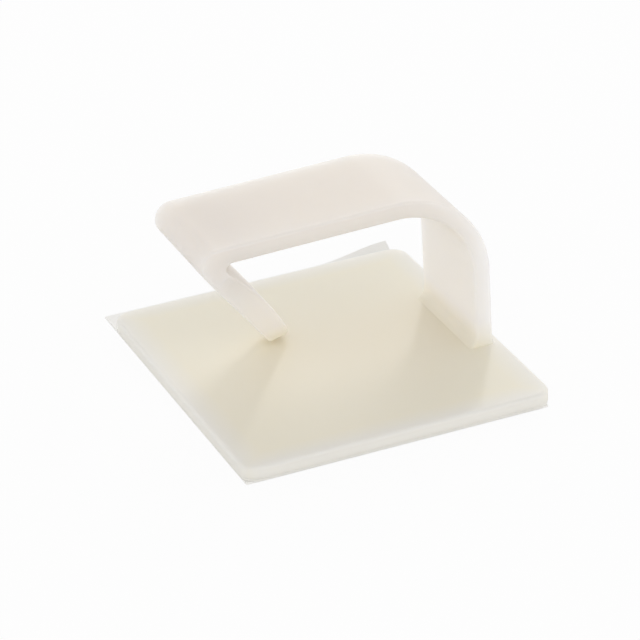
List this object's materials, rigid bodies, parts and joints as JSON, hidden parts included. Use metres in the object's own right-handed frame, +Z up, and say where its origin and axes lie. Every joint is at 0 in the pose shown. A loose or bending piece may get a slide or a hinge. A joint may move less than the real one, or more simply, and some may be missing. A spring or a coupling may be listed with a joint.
{
  "type": "adhesive cable clip",
  "caption": "Moulded cable clip with a rounded square base, a broad bent strap that ends in a springy diagonal lip, and adhesive tape with a release liner underneath.",
  "frame": {"origin": "on the release liner's flat underside, below the middle of the base plate", "axes": "+X from the open lip to the leg along the strap, +Y the way a cable lies in the clip, towards the liner's peel tab, +Z up from the base"},
  "size_m": [0.0254, 0.0305, 0.0152],
  "materials": {
    "natural_nylon": "satin, slightly translucent off-white",
    "tape": "soft pressure-sensitive film",
    "liner_paper": "smooth coated paper, light grey"
  },
  "bodies": {
    "root": {"clip_body": "natural_nylon", "adhesive_tape": "tape", "release_liner": "liner_paper"}
  },
  "joints": []
}
